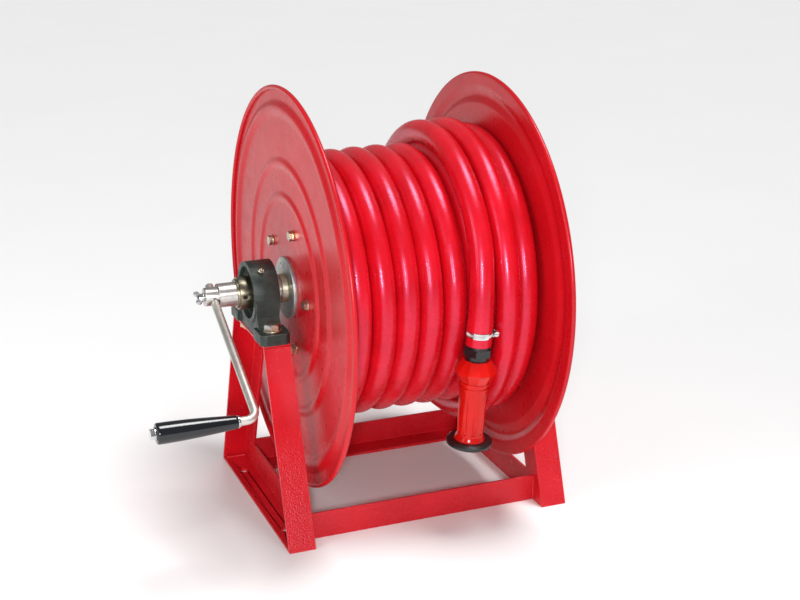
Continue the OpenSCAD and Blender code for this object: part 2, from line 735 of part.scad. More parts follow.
module nozzle_barrel() color(nozzle_red) on_nozzle(barrel_s) mirror([0, 0, 1]) {
    length = nozzle_l - barrel_s;
    flare = 8;
    flutes = 9;
    flute_l = length - ridge_l - flare - 2;
    difference() {
        union() {
            translate([0, 0, 0.3]) cylinder(r = 22, h = 5);
            translate([0, 0, 5]) cylinder(r = 20.5, h = 3);
            translate([0, 0, 8]) cylinder(r = 21.5, h = 5);
            translate([0, 0, 12]) cylinder(r1 = 20.6, r2 = 18.8, h = length - 12);
            translate([0, 0, length - flare]) cylinder(r1 = 18.9, r2 = 22.5, h = flare);
        }
        // flutes that start as a point and deepen towards the mouth
        for (i = [0 : flutes - 1]) rotate([0, 0, (i + 0.5) * 360 / flutes])
            translate([22.9, 0, ridge_l]) rotate([0, -3.2, 0]) cylinder(r = 2.6, h = flute_l);
        translate([0, 0, -1]) cylinder(r = stem_r + gap, h = 50);
        translate([0, 0, 48]) cylinder(r = 13, h = 22);
        translate([0, 0, 60]) cylinder(r = 10, h = 60);
    }
}

module nozzle_bumper() color(black) on_nozzle(nozzle_l) mirror([0, 0, 1]) difference() {
    union() {
        translate([0, 0, 0.05]) cylinder(r1 = bumper_r - 4, r2 = bumper_r, h = 3);
        translate([0, 0, 3]) cylinder(r = bumper_r, h = bumper_t - 4);
        translate([0, 0, bumper_t - 1]) cylinder(r1 = bumper_r, r2 = bumper_r - 3, h = 2);
    }
    translate([0, 0, -1]) cylinder(r = 12, h = 2 * bumper_t);
}

// ---------- water inlet ----------

swivel_r = 26;
swivel_start = 243;
chamber_x = 266;
chamber_r = 19;
swivel_seal_x = [250, 258];
swivel_end = 284;
plug_r = 24;
inlet_x = 273;
inlet_r = 16.6;
inlet_l = 56;

module swivel_body() color(brass) difference() {
    union() {
        on_axle(swivel_start) cylinder(r = swivel_r, h = swivel_end - swivel_start);
        translate([inlet_x, 0, axle_h - 34]) cylinder(r = 20, h = 30);
        translate([inlet_x, 0, axle_h - inlet_l]) cylinder(r = inlet_r, h = 40);
    }
    on_axle(swivel_start - 1) cylinder(r = journal_r + gap, h = 60);
    on_axle(chamber_x) cylinder(r = chamber_r, h = 40);
    on_axle(swivel_end) cylinder(r = plug_r + 0.5, h = 40);
    for (x = swivel_seal_x) on_axle(x - 2) cylinder(r = 18.8, h = 4);
    translate([inlet_x, 0, axle_h - inlet_l - 1]) cylinder(r = 12.5, h = inlet_l);
}

module swivel_seals() color(black) for (x = swivel_seal_x)
    on_axle(x) rotate_extrude() translate([16.9, 0]) circle(r = 1.8, $fn = 20);

// Open ring in the shaft's groove, which keeps the swivel from sliding off
module swivel_circlip() color(stainless) difference() {
    on_axle(clip_x + 0.1) ring(clip_r + seat, 17.6, clip_t - 0.2);
    translate([clip_x - 1, -30, axle_h - 3]) cube([4, 30, 6]);
}

// Screwed plug that closes the chamber
module swivel_plug() color(brass) {
    on_axle(swivel_end - 6) cylinder(r = chamber_r - seat, h = 7);
    on_axle(swivel_end) cylinder(r = plug_r, h = 2);
    on_axle(swivel_end + 2) hex_prism(27, 7);
}

left_front_leg();
left_rear_leg();
left_base_rail();
left_bearing_rail();
right_front_leg();
right_rear_leg();
right_base_rail();
right_bearing_rail();
front_cross_rail();
rear_cross_rail();
left_housing();
right_housing();
outer_rings();
bearing_seals();
inner_rings();
set_screws();
left_ball_cage();
right_ball_cage();
grease_nipples();
housing_bolts();
housing_washers();
housing_nuts();
main_shaft();
spacers();
left_hub();
right_hub();
hub_screws();
hub_nuts();
left_disc();
right_disc();
drum_core();
tie_rods();
disc_bolts();
disc_washers();
riser_pipe();
outlet_elbow();
hose_start();
start_clamp();
hose_coil();
hose_last_turn();
hose_tail();
crank_rod();
crank_collar();
grip();
grip_bolt();
wing_screw();
tail_clamp();
clamp_screw();
hose_coupling();
nozzle_collar();
nozzle_stem();
stem_seal();
nozzle_barrel();
nozzle_bumper();
swivel_body();
swivel_seals();
swivel_circlip();
swivel_plug();
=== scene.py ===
"""Looks of a hand-cranked fire hose reel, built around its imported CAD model."""
import json
import math

import bmesh
import bpy
from mathutils import Matrix, Vector, noise


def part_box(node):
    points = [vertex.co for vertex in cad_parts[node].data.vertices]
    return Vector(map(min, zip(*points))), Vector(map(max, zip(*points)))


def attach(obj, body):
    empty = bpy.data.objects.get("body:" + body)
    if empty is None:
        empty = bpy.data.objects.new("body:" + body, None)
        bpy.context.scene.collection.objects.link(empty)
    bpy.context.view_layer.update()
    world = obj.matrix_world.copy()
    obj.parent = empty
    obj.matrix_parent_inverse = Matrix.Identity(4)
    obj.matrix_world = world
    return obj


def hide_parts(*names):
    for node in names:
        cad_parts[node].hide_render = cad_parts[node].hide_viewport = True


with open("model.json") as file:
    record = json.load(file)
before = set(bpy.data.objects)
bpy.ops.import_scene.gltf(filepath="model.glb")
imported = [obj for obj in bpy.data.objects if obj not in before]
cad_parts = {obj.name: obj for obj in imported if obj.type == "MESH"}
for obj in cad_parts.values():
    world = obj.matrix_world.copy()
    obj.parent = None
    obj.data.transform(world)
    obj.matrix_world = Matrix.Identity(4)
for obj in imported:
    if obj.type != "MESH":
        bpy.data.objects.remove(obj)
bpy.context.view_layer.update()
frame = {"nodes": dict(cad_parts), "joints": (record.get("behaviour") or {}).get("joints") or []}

TAU = 2 * math.pi
MM = 0.001
X_AXIS = Vector((1, 0, 0))

joints = {j["name"]: j for j in frame["joints"]}
AXLE_Z = joints["drum_spin"]["pos_m"][2]


# ---------- camera ----------

def add_camera():
    """The camera stands to the front left of the reel, a little above it, and looks down at it."""
    data = bpy.data.cameras.new("camera")
    data.lens = 66.16
    data.sensor_width = 36
    camera = bpy.data.objects.new("camera", data)
    camera.location = (-0.7675, -1.9702, 0.9939)
    camera.rotation_euler = (math.radians(90 - 18.21), 0, math.radians(-21.78))
    bpy.context.scene.collection.objects.link(camera)
    bpy.context.scene.camera = camera


add_camera()


# ---------- meshes ----------

def new_piece(name, mesh, body, material=None, replaces=(), smooth_angle=40):
    """Links a mesh as a piece that rides on a body, smooth except at its sharp edges."""
    obj = bpy.data.objects.new(name, mesh)
    bpy.context.scene.collection.objects.link(obj)
    mesh.polygons.foreach_set("use_smooth", [True] * len(mesh.polygons))
    mark_sharp(mesh, math.radians(smooth_angle))
    if material:
        mesh.materials.append(material)
    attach(obj, body)
    if replaces:
        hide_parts(*replaces)
    return obj


def mark_sharp(mesh, angle):
    """Marks the edges whose faces meet at more than the angle."""
    bm = bmesh.new()
    bm.from_mesh(mesh)
    for edge in bm.edges:
        edge.smooth = len(edge.link_faces) != 2 or edge.calc_face_angle(0) < angle
    bm.to_mesh(mesh)
    bm.free()


def mesh_of(name, verts, faces):
    mesh = bpy.data.meshes.new(name)
    mesh.from_pydata([tuple(v) for v in verts], [], faces)
    mesh.validate()
    mesh.update()
    return mesh


def ring_faces(n, m):
    """Faces between n copies of a closed profile of m points that stand round a circle."""
    return [(k * m + i, (k + 1) % n * m + i, (k + 1) % n * m + (i + 1) % m, k * m + (i + 1) % m)
            for k in range(n) for i in range(m)]


def tube_faces(rings, sides):
    """Faces of a tube, closed at both ends, whose rings of points follow one another."""
    faces = []
    for i in range(rings - 1):
        for k in range(sides):
            k2 = (k + 1) % sides
            faces.append((i * sides + k, i * sides + k2, (i + 1) * sides + k2, (i + 1) * sides + k))
    last = (rings - 1) * sides
    return faces + [tuple(range(sides - 1, -1, -1)), tuple(last + k for k in range(sides))]


def lathe(name, profile, n):
    """Turns a closed profile of (radius, height) points round the z axis."""
    verts = []
    for k in range(n):
        a = TAU * k / n
        verts += [Vector((r * math.cos(a), r * math.sin(a), h)) for r, h in profile]
    return mesh_of(name, verts, ring_faces(n, len(profile)))


def on_axle(x, towards):
    """Places local z along the axle from x, towards +X or -X."""
    turn = Matrix.Rotation(math.radians(90 * towards), 4, "Y")
    return Matrix.Translation((x, 0, AXLE_Z)) @ turn


def arc(cx, cy, r, start, end, n):
    """Points of an arc in a profile, angles in degrees."""
    return [(cx + r * math.cos(math.radians(start + (end - start) * i / n)),
             cy + r * math.sin(math.radians(start + (end - start) * i / n))) for i in range(n + 1)]


# ---------- the hose ----------

HOSE_D = 35 * MM
HOSE_R = HOSE_D / 2
CORE_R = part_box("drum_core")[1].z - AXLE_Z
PORT_X = (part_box("hose_start")[0].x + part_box("hose_start")[1].x) / 2
START_Z = 0.493                                # middle of the elbow inside the drum
START_TILT = math.radians(18)                  # how far its outlet points down
START_FROM, START_TO = 0.021, 0.060            # where the hose leaves the elbow, and starts to bend
PITCH = 35.6 * MM
INNER_R = CORE_R + HOSE_R
OUTER_R = 181 * MM
INNER_TURNS = 8
# x of each turn of the outer layer, from the crank's side to the inlet's
OUTER_X = (-0.1115, -0.0759, -0.0403, -0.0047, 0.0309, 0.0665, 0.1000)
CLIMB_X = -0.131                               # where it climbs to that layer, at the crank's disc
# (degrees, x, radius) along the three turns on top, beside the inlet's disc
TOP_KEYS = ((-30, 0.1335, 0.186), (60, 0.1365, 0.2035), (90, 0.1368, 0.205),
            (180, 0.1300, 0.204), (250, 0.1295, 0.204), (290, 0.117, 0.2215),
            (330, 0.1040, 0.2155), (450, 0.1055, 0.2145), (540, 0.0990, 0.2135),
            (610, 0.0985, 0.2145), (690, 0.0700, 0.2135), (810, 0.0680, 0.213),
            (870, 0.0635, 0.2165), (900, 0.0545, 0.2174))
# where the hose steps over to its next turn, in degrees from +Y over +Z
CROSS_FROM, CROSS_MID, CROSS_TO = 250, 290, 330
# where the hose lies below its last turn, in metres from the axle's middle
TAIL_ROUTE = [(0.0545, -0.2174, 0.0), (0.0536, -0.2171, -0.015), (0.0527, -0.2161, -0.030),
              (0.052, -0.215, -0.044)]


def smooth_step(t):
    t = min(max(t, 0.0), 1.0)
    return t * t * (3 - 2 * t)


def winding_keys():
    """(angle, x, radius) where each turn begins and ends, along the whole winding."""
    keys = []
    for lap in range(INNER_TURNS):
        x = PORT_X - PITCH * lap
        keys += [(360 * lap + CROSS_TO - 360, x, INNER_R), (360 * lap + CROSS_FROM, x, INNER_R)]
    # at the disc the hose climbs to the outer layer, round the turn that still comes in below it
    keys.append((360 * (INNER_TURNS - 1) + CROSS_MID, CLIMB_X, (INNER_R + OUTER_R) / 2))
    for i, x in enumerate(OUTER_X):
        lap = INNER_TURNS + i
        keys += [(360 * lap + CROSS_TO - 360, x, OUTER_R), (360 * lap + CROSS_FROM, x, OUTER_R)]
    top = 360 * (INNER_TURNS + len(OUTER_X))
    return keys + [(top + a, x, r) for a, x, r in TOP_KEYS]


def winding_point(keys, i, angle):
    """The point of the winding at an angle, which lies between key i and the next."""
    a0, x0, r0 = keys[i]
    a1, x1, r1 = keys[i + 1]
    t = smooth_step((angle - a0) / (a1 - a0))
    x = x0 + (x1 - x0) * t
    r = r0 + (r1 - r0) * t
    # no two turns lie exactly alike
    wander = 0.5 * MM
    a = math.radians(angle)
    x += wander * math.sin(a * 1.37 + 1.0)
    r += wander * math.sin(a * 0.83)
    return Vector((x, r * math.cos(a), AXLE_Z + r * math.sin(a)))


def hose_route():
    """The hose's centreline, from the elbow inside the drum to the nozzle."""
    step, ease_end, ease = 4, 150, 40          # degrees round the drum
    way = Vector((0, -math.cos(START_TILT), -math.sin(START_TILT)))
    elbow = Vector((PORT_X, 0, START_Z))
    points = [elbow + way * (START_FROM + (START_TO - START_FROM) * t / 4) for t in range(5)]
    corner = points[-1] - Vector((0, 0, AXLE_Z))
    corner_angle = math.degrees(math.atan2(corner.z, corner.y))
    corner_r = math.hypot(corner.z, corner.y)
    outward = math.tan(math.radians(corner_angle - 90) - START_TILT) * math.radians(corner_r)
    keys = winding_keys()
    angle = corner_angle + step
    i = 0
    while angle < keys[-1][0]:
        while angle > keys[i + 1][0]:
            i += 1
        p = winding_point(keys, i, angle)
        # the straight start eases into the first turn
        past = angle - corner_angle
        if past < ease_end:
            away = Vector((0, p.y, p.z - AXLE_Z)).normalized()
            p += away * (corner_r - INNER_R + outward * past) * math.exp(-(past / ease) ** 2)
        points.append(p)
        angle += step
    points += [Vector((x, y, AXLE_Z + z)) for x, y, z in TAIL_ROUTE]
    return relaxed(points, 6)


def relaxed(points, rounds):
    """Evens out a centreline's curvature, with its two ends held."""
    for _ in range(rounds):
        points = (points[:2] + [p * 0.5 + (a + b) * 0.25 for a, p, b in
                                zip(points[1:-3], points[2:-2], points[3:-1])] + points[-2:])
    return points


def swell(to_end):
    """How much wider the hose is on the coupling's barb, by the distance to its end.

    The clamp pinches it again.
    """
    barb_l, ease, clamp_at, clamp_half = 0.045, 0.018, 0.017, 0.006
    widened = 0.9 * MM * smooth_step((barb_l - to_end) / ease)
    pinched = 0.7 * MM * math.exp(-((to_end - clamp_at) / clamp_half) ** 2)
    return widened - pinched


def tube_mesh(name, route, radius, sides):
    """A closed tube along a route. Its UVs are metres along it and metres round it."""
    tangents = [(route[min(i + 1, len(route) - 1)] - route[max(i - 1, 0)]).normalized()
                for i in range(len(route))]
    side = X_AXIS
    verts = []
    lengths = [0.0]
    for a, b in zip(route, route[1:]):
        lengths.append(lengths[-1] + (b - a).length)
    for p, t, length in zip(route, tangents, lengths):
        side = (side - side.dot(t) * t).normalized()
        up = t.cross(side)
        r = radius + swell(lengths[-1] - length)
        for k in range(sides):
            a = TAU * k / sides
            verts.append(p + r * (math.cos(a) * side + math.sin(a) * up))
    uvs = []
    girth = TAU * radius
    for u0, u1 in zip(lengths, lengths[1:]):
        for k in range(sides):
            v0 = girth * k / sides
            v1 = girth * (k + 1) / sides
            uvs += [(u0, v0), (u0, v1), (u1, v1), (u1, v0)]
    uvs += [(0.0, 0.0)] * (2 * sides)
    mesh = mesh_of(name, verts, tube_faces(len(route), sides))
    layer = mesh.uv_layers.new(name="metres")
    for loop, uv in zip(layer.data, uvs):
        loop.uv = uv
    return mesh, lengths[-1]


hose_path = hose_route()
hose_mesh, hose_length = tube_mesh("hose", hose_path, HOSE_R, 32)
hose = new_piece("hose", hose_mesh, "drum",
                 replaces=("hose_start", "hose_coil", "hose_last_turn", "hose_tail"))
print("hose length", round(hose_length, 3), "points", len(hose_path))


# ---------- materials ----------

class Look:
    """Short calls for building one node material on a Principled shader."""

    def __init__(self, name):
        self.material = bpy.data.materials.new(name)
        self.material.use_nodes = True
        self.nodes = self.material.node_tree.nodes
        self.links = self.material.node_tree.links
        self.shader = self.nodes["Principled BSDF"]
        self.place = self.node("ShaderNodeTexCoord").outputs["Object"]

    def node(self, kind, inputs=(), **settings):
        made = self.nodes.new(kind)
        for key, value in settings.items():
            setattr(made, key, value)
        for key, value in dict(inputs).items():
            self.set(made.inputs[key], value)
        return made

    def set(self, socket, value):
        if isinstance(value, bpy.types.NodeSocket):
            self.links.new(value, socket)
        else:
            socket.default_value = value

    def put(self, **inputs):
        """Sets the shader's inputs; an underscore stands for a space."""
        for key, value in inputs.items():
            self.set(self.shader.inputs[key.replace("_", " ")], value)

    def noise(self, size, detail=3.0, roughness=0.55, place=None):
        """A noise from 0 to 1 whose lumps are about size metres across."""
        return self.node("ShaderNodeTexNoise", {
            "Vector": place or self.place, "Scale": 1 / size, "Detail": detail,
            "Roughness": roughness}).outputs["Fac"]

    def ramp(self, value, low, high, out_low=0.0, out_high=1.0):
        return self.node("ShaderNodeMapRange", {
            "Value": value, "From Min": low, "From Max": high, "To Min": out_low,
            "To Max": out_high}).outputs["Result"]

    def math(self, operation, a, b=0.0):
        return self.node("ShaderNodeMath", {0: a, 1: b}, operation=operation).outputs[0]

    def mix(self, factor, a, b):
        made = self.node("ShaderNodeMix", data_type="RGBA")
        self.set(made.inputs["Factor"], factor)
        self.set(made.inputs[6], a)
        self.set(made.inputs[7], b)
        return made.outputs[2]

    def edges(self, radius):
        """1 along outer and inner edges, 0 on open faces."""
        rounded = self.node("ShaderNodeBevel", {"Radius": radius}, samples=4).outputs["Normal"]
        plain = self.node("ShaderNodeNewGeometry").outputs["Normal"]
        turned = self.node("ShaderNodeVectorMath", {0: rounded, 1: plain}, operation="DOT_PRODUCT")
        return self.ramp(turned.outputs["Value"], 0.995, 0.80)

    def bump(self, height, distance, strength, below=None):
        inputs = {"Height": height, "Distance": distance, "Strength": strength}
        if below:
            inputs["Normal"] = below
        return self.node("ShaderNodeBump", inputs).outputs["Normal"]


def rgb(r, g, b):
    return (r, g, b, 1)


def powder_coat():
    """Thick red powder coat with an orange-peel surface that sparkles where it faces the light."""
    look = Look("powder_coat")
    cloud = look.noise(0.09, 2)
    base = look.mix(look.ramp(cloud, 0.3, 0.7), rgb(0.54, 0.004, 0.010), rgb(0.66, 0.009, 0.018))
    # every edge is painted a lighter red: a painted highlight where the rounded edges catch the
    # light
    edge = look.edges(0.0011)
    base = look.mix(look.math("MULTIPLY", edge, 0.4), base, rgb(0.85, 0.12, 0.13))
    # the peel is coarsest near the floor, where the coat ran thick
    z = look.node("ShaderNodeSeparateXYZ", {"Vector": look.place}).outputs["Z"]
    ragged_z = look.math("ADD", z, look.math("MULTIPLY", look.noise(0.05, 3), 0.10))
    run = look.ramp(ragged_z, 0.10, 0.24, 1.0, 0.25)
    peel = look.noise(0.0024, 2, 0.6)
    height = look.bump(look.math("MULTIPLY", peel, run), 0.0015, 0.9)
    height = look.bump(look.noise(0.0007, 1), 0.00008, 0.5, below=height)
    rough = look.ramp(look.noise(0.03), 0.3, 0.7, 0.18, 0.28)
    look.put(Base_Color=base, Roughness=rough, Normal=height, Specular_IOR_Level=0.5,
             Specular_Tint=rgb(1.0, 0.78, 0.88))
    return look.material


def gloss_paint():
    """Smooth red gloss paint on pressed sheet."""
    look = Look("gloss_paint")
    cloud = look.noise(0.16, 2)
    base = look.mix(look.ramp(cloud, 0.3, 0.7), rgb(0.48, 0.003, 0.008), rgb(0.58, 0.006, 0.012))
    dust = look.ramp(look.noise(0.006, 4, 0.7), 0.60, 0.80, 0.0, 0.10)
    base = look.mix(dust, base, rgb(0.66, 0.06, 0.08))
    height = look.bump(look.noise(0.06, 1), 0.0012, 0.22)
    height = look.bump(look.noise(0.0035, 1), 0.00004, 0.4, below=height)
    rough = look.ramp(look.noise(0.02, 3), 0.3, 0.7, 0.25, 0.34)
    look.put(Base_Color=base, Roughness=rough, Normal=height, Specular_IOR_Level=0.42,
             Specular_Tint=rgb(1.0, 0.80, 0.92))
    return look.material


def hose_pvc():
    """Glossy red PVC with the braid of its fibres showing through as fine crossing ridges."""
    look = Look("hose_pvc")
    metres = look.node("ShaderNodeUVMap", uv_map="metres").outputs["UV"]
    split = look.node("ShaderNodeSeparateXYZ", {"Vector": metres})
    along, round_it = split.outputs["X"], split.outputs["Y"]
    strand = TAU / 0.0036
    left = look.math("SINE", look.math("MULTIPLY", look.math("ADD", along, round_it), strand))
    right = look.math("SINE", look.math("MULTIPLY", look.math("SUBTRACT", along, round_it), strand))
    braid = look.math("MULTIPLY", left, right)
    cloud = look.noise(0.05, 3)
    base = look.mix(look.ramp(cloud, 0.3, 0.7), rgb(0.56, 0.002, 0.007), rgb(0.69, 0.004, 0.013))
    base = look.mix(look.ramp(braid, 0.1, 0.9, 0.0, 0.12), base, rgb(0.90, 0.05, 0.06))
    scuff = look.ramp(look.noise(0.004, 5, 0.75), 0.66, 0.84, 0.0, 0.12)
    base = look.mix(scuff, base, rgb(0.42, 0.02, 0.03))
    patch = look.ramp(look.noise(0.12, 2), 0.35, 0.65, 0.4, 1.0)
    height = look.bump(look.math("MULTIPLY", braid, patch), 0.00013, 0.5)
    height = look.bump(look.noise(0.012, 2), 0.0003, 0.2, below=height)
    rough = look.ramp(look.noise(0.02, 3), 0.3, 0.7, 0.24, 0.31)
    look.put(Base_Color=base, Roughness=rough, Normal=height, Specular_IOR_Level=0.65,
             Specular_Tint=rgb(1.0, 0.42, 0.85), Coat_Weight=0.16, Coat_Roughness=0.10,
             Coat_Normal=height, Coat_Tint=rgb(1.0, 0.97, 0.98))
    return look.material


def cast_iron_paint():
    """Dark green-grey machine paint over sand-cast iron, worn pale along its edges."""
    look = Look("cast_iron_paint")
    cloud = look.ramp(look.noise(0.02, 4), 0.35, 0.65)
    base = look.mix(cloud, rgb(0.014, 0.025, 0.021), rgb(0.034, 0.050, 0.043))
    edge = look.math("MULTIPLY", look.edges(0.0016), look.ramp(look.noise(0.006, 3), 0.35, 0.6))
    base = look.mix(look.math("MULTIPLY", edge, 0.75), base, rgb(0.24, 0.27, 0.25))
    height = look.bump(look.noise(0.0022, 4, 0.65), 0.0004, 0.55)
    rough = look.ramp(look.noise(0.012, 2), 0.3, 0.7, 0.36, 0.52)
    look.put(Base_Color=base, Roughness=rough, Normal=height, Metallic=0.15)
    return look.material


def zinc_plate():
    """Zinc plating passivated yellow, in cloudy patches of straw and grey."""
    look = Look("zinc_plate")
    cloud = look.noise(0.012, 3)
    base = look.mix(look.ramp(cloud, 0.38, 0.62), rgb(0.50, 0.50, 0.47), rgb(0.62, 0.53, 0.30))
    grime = look.ramp(look.noise(0.003, 4, 0.7), 0.62, 0.8, 0.0, 0.35)
    base = look.mix(grime, base, rgb(0.14, 0.12, 0.08))
    height = look.bump(look.noise(0.0008, 3), 0.00008, 0.5)
    rough = look.ramp(look.noise(0.005, 3), 0.3, 0.7, 0.24, 0.42)
    look.put(Base_Color=base, Roughness=rough, Normal=height, Metallic=1.0)
    return look.material


def galvanised_flange():
    """Grey zinc on the hub, heat-tinted straw yellow round its boss by welding."""
    look = Look("galvanised_flange")
    split = look.node("ShaderNodeSeparateXYZ", {"Vector": look.place})
    z = look.math("SUBTRACT", split.outputs["Z"], AXLE_Z)
    y = split.outputs["Y"]
    squares = look.math("ADD", look.math("MULTIPLY", y, y), look.math("MULTIPLY", z, z))
    radius = look.math("SQRT", squares)
    wander = look.math("MULTIPLY", look.math("SUBTRACT", look.noise(0.02, 3), 0.5), 0.02)
    tint = look.ramp(look.math("ADD", radius, wander), 0.022, 0.034, 0.7, 0.0)
    spangle = look.node("ShaderNodeTexVoronoi", {"Vector": look.place, "Scale": 160})
    grey = look.mix(0.12, rgb(0.47, 0.48, 0.49), spangle.outputs["Color"])
    base = look.mix(tint, grey, rgb(0.46, 0.41, 0.24))
    height = look.bump(look.noise(0.0015, 3), 0.0001, 0.4)
    rough = look.ramp(look.noise(0.008, 3), 0.3, 0.7, 0.36, 0.52)
    look.put(Base_Color=base, Roughness=rough, Normal=height, Metallic=0.85)
    return look.material


def turned_steel(name, light, dark, rough_low, rough_high):
    """Steel with fine turning marks round the axle."""
    look = Look(name)
    split = look.node("ShaderNodeSeparateXYZ", {"Vector": look.place})
    rings = look.node("ShaderNodeCombineXYZ", {"X": split.outputs["X"]}).outputs["Vector"]
    marks = look.noise(0.0007, 4, 0.7, place=rings)
    cloud = look.noise(0.015, 3)
    base = look.mix(look.ramp(cloud, 0.35, 0.65), dark, light)
    base = look.mix(look.ramp(marks, 0.35, 0.65, 0.0, 0.25), base, dark)
    height = look.bump(marks, 0.00005, 0.5)
    rough = look.ramp(marks, 0.3, 0.7, rough_low, rough_high)
    look.put(Base_Color=base, Roughness=rough, Normal=height, Metallic=1.0)
    return look.material


def satin_steel(name, light, dark, rough_low, rough_high):
    """Plain steel with a soft grain and faint clouding."""
    look = Look(name)
    base = look.mix(look.ramp(look.noise(0.02, 4), 0.35, 0.65), dark, light)
    height = look.bump(look.noise(0.0009, 3), 0.00005, 0.45)
    rough = look.ramp(look.noise(0.006, 4), 0.3, 0.7, rough_low, rough_high)
    look.put(Base_Color=base, Roughness=rough, Normal=height, Metallic=1.0)
    return look.material


def moulded(name, light, dark, rough_low, rough_high, coat=0.3, shine=0.5):
    """Moulded plastic or rubber: slight clouding, fine skin and small scratches."""
    look = Look(name)
    base = look.mix(look.ramp(look.noise(0.018, 3), 0.35, 0.65), dark, light)
    drawn_out = look.node("ShaderNodeMapping", {"Vector": look.place, "Scale": (3, 1, 1)})
    scratch = look.noise(0.0012, 6, 0.8, place=drawn_out.outputs["Vector"])
    scratch = look.ramp(scratch, 0.68, 0.80)
    height = look.bump(look.noise(0.0012, 2), 0.00003, 0.5)
    height = look.bump(scratch, 0.00003, 0.3, below=height)
    rough = look.ramp(look.noise(0.01, 4), 0.3, 0.7, rough_low, rough_high)
    look.put(Base_Color=base, Roughness=rough, Normal=height, Specular_IOR_Level=shine,
             Coat_Weight=coat, Coat_Roughness=0.08)
    return look.material


def floor_paint():
    """Pale, plain studio floor."""
    look = Look("floor_paint")
    base = look.mix(look.noise(0.4, 3), rgb(0.84, 0.84, 0.84), rgb(0.87, 0.87, 0.87))
    look.put(Base_Color=base, Roughness=0.6, Specular_IOR_Level=0.2)
    return look.material


POWDER = powder_coat()
PAINT = gloss_paint()
HOSE = hose_pvc()
IRON = cast_iron_paint()
ZINC = zinc_plate()
FLANGE = galvanised_flange()
SHAFT_STEEL = turned_steel("shaft_steel", rgb(0.66, 0.64, 0.61), rgb(0.50, 0.48, 0.46), 0.26, 0.40)
COLLAR_STEEL = turned_steel("collar_steel", rgb(0.30, 0.27, 0.20), rgb(0.17, 0.145, 0.10),
                            0.26, 0.42)
ROD_STEEL = satin_steel("rod_steel", rgb(0.72, 0.71, 0.66), rgb(0.60, 0.59, 0.54), 0.42, 0.54)
BRIGHT_STEEL = satin_steel("bright_steel", rgb(0.74, 0.74, 0.74), rgb(0.55, 0.55, 0.56), 0.12, 0.28)
BALL_STEEL = satin_steel("ball_steel", rgb(0.66, 0.66, 0.67), rgb(0.56, 0.56, 0.57), 0.06, 0.14)
BRASS = satin_steel("brass", rgb(0.72, 0.50, 0.20), rgb(0.52, 0.35, 0.13), 0.22, 0.38)
RUBBER = moulded("rubber", rgb(0.012, 0.012, 0.013), rgb(0.006, 0.006, 0.007), 0.36, 0.52, coat=0.1)
GRIP = moulded("grip_plastic", rgb(0.004, 0.005, 0.008), rgb(0.002, 0.003, 0.005), 0.14, 0.20)
COUPLING = moulded("coupling_plastic", rgb(0.010, 0.010, 0.012), rgb(0.005, 0.005, 0.006),
                   0.24, 0.36)
NOZZLE = moulded("nozzle_plastic", rgb(0.66, 0.008, 0.005), rgb(0.58, 0.006, 0.004), 0.16, 0.24,
                 coat=0.0, shine=0.32)

hose.data.materials.append(HOSE)


# ---------- discs ----------

DISC_FACE = 155 * MM
SHEET = 2 * MM
# middle, half width and height of each pressed ring, in millimetres
RIBS = ((134, 10, 3.0), (183, 11, 3.0), (262, 15, 4.5))
BEAD_R = 3.5 * MM
EDGE_R = 295.5 * MM
WAVES = 11                                     # waves per metre of sheet
WAVE_H = 0.55 * MM
# the sheet is held at the core and at the rim, and waves in between
WAVE_FROM, WAVE_EASE, RIM_EASE = 0.10, 0.05, 0.03


def pressed(r):
    """How far the sheet is pressed out at a radius, with soft shoulders on every rib."""
    mm = r / MM
    return sum(h * MM * 0.5 * (1 + math.cos(math.pi * min(abs(mm - middle) / half, 1)))
               for middle, half, h in RIBS)


def disc_piece(name, side, node):
    """One pressed disc: soft ribs, a rolled rim and the slight waves of thin sheet."""
    bore_mm, bead_mm, step_mm, sides = 18, 288, 1.5, 240
    radii = [(bore_mm + step_mm * i) * MM for i in range(int((bead_mm - bore_mm) / step_mm) + 1)]
    out = [(r, SHEET + pressed(r)) for r in radii]
    back = [(r, pressed(r)) for r in reversed(radii)]
    bead = arc(EDGE_R - BEAD_R, BEAD_R, BEAD_R, 205, -90, 16)
    mesh = lathe(name, out + bead + back, sides)
    place = on_axle(side * DISC_FACE, side)
    for v in mesh.vertices:
        r = math.hypot(v.co.x, v.co.y)
        free = smooth_step((r - WAVE_FROM) / WAVE_EASE) * smooth_step((EDGE_R - r) / RIM_EASE)
        where = Vector((v.co.x * WAVES + side * 5, v.co.y * WAVES, 0.3))
        v.co.z += free * WAVE_H * noise.noise(where)
        v.co = place @ v.co
    return new_piece(name, mesh, "drum", PAINT, [node], 60)


disc_piece("left_disc_sheet", -1, "left_disc")
disc_piece("right_disc_sheet", 1, "right_disc")


# ---------- weld beads on the frame ----------

def weld_bead(a, b, radius, seed):
    """Verts and faces of a rippled bead along a line, drawn in at both ends."""
    a, b = Vector(a), Vector(b)
    length = (b - a).length
    way = (b - a).normalized()
    side = way.orthogonal().normalized()
    up = way.cross(side)
    sides, step, fewest = 10, 0.7 * MM, 6
    steps = max(int(length / step), fewest)
    verts = []
    for i in range(steps + 1):
        t = i / steps
        rough = noise.noise(Vector((i * 0.35, seed, 0)))
        ripple = 1 + 0.13 * math.sin(i * 2.1 + seed) + 0.18 * rough
        r = radius * ripple * min(1.0, math.sqrt(max(t * (1 - t), 0.0) * 60) + 0.15)
        for k in range(sides):
            q = TAU * k / sides
            verts.append(a + way * length * t + side * (r * math.cos(q)) + up * (r * math.sin(q)))
    return verts, tube_faces(steps + 1, sides)


